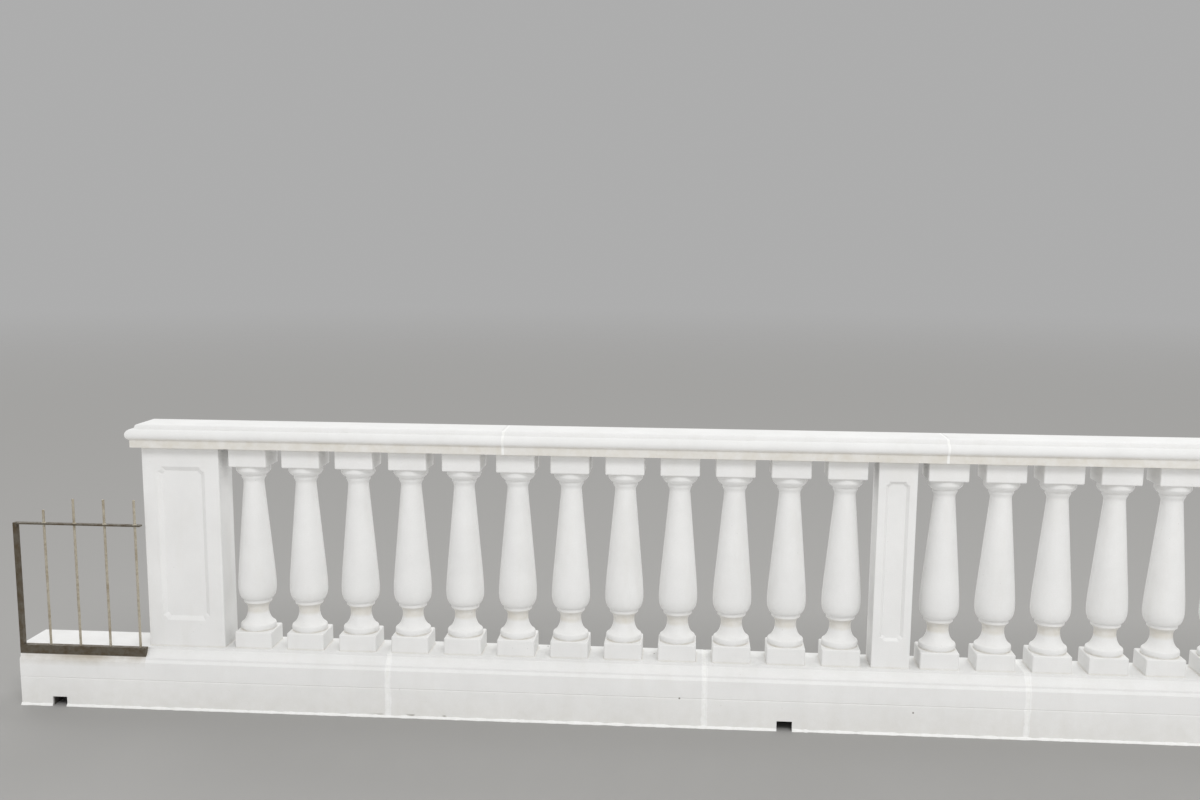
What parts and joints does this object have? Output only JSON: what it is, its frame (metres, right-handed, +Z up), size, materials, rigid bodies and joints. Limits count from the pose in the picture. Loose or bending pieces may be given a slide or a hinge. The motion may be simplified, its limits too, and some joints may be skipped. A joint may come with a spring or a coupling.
{
  "type": "stone balustrade",
  "caption": "Stone balustrade with turned balusters between panelled piers, under a round-nosed rail, on a moulded base with drain slots and a low steel infill at the wall end.",
  "frame": {"origin": "middle of the footprint, on the ground that the base course stands on", "axes": "+X along the run, away from the house wall; +Z up; the show side with the steel infill faces -Y"},
  "size_m": [5.227, 0.226, 0.927],
  "materials": {
    "cast_stone": "smooth white cast stone with fine pores and light staining",
    "mortar": "white pointing mortar, rubbed flush",
    "steel": "dull weathered steel bars"
  },
  "bodies": {
    "root": {"baluster_01": "cast_stone", "baluster_02": "cast_stone", "baluster_03": "cast_stone", "baluster_04": "cast_stone", "baluster_05": "cast_stone", "baluster_06": "cast_stone", "baluster_07": "cast_stone", "baluster_08": "cast_stone", "baluster_09": "cast_stone", "baluster_10": "cast_stone", "baluster_11": "cast_stone", "baluster_12": "cast_stone", "baluster_13": "cast_stone", "baluster_14": "cast_stone", "baluster_15": "cast_stone", "baluster_16": "cast_stone", "baluster_17": "cast_stone", "baluster_18": "cast_stone", "baluster_19": "cast_stone", "baluster_20": "cast_stone", "baluster_21": "cast_stone", "baluster_22": "cast_stone", "baluster_23": "cast_stone", "baluster_24": "cast_stone", "end_pier_left": "cast_stone", "mid_pier": "cast_stone", "end_pier_right": "cast_stone", "base_block_1": "cast_stone", "base_block_2": "cast_stone", "base_block_3": "cast_stone", "base_block_4": "cast_stone", "base_block_5": "cast_stone", "rail_block_1": "cast_stone", "rail_block_2": "cast_stone", "rail_block_3": "cast_stone", "rail_block_4": "cast_stone", "base_joints": "mortar", "rail_joints": "mortar", "foot_bead": "mortar", "infill_post": "steel", "infill_top_bar": "steel", "infill_bottom_rail": "steel", "infill_rods": "steel"}
  },
  "joints": []
}
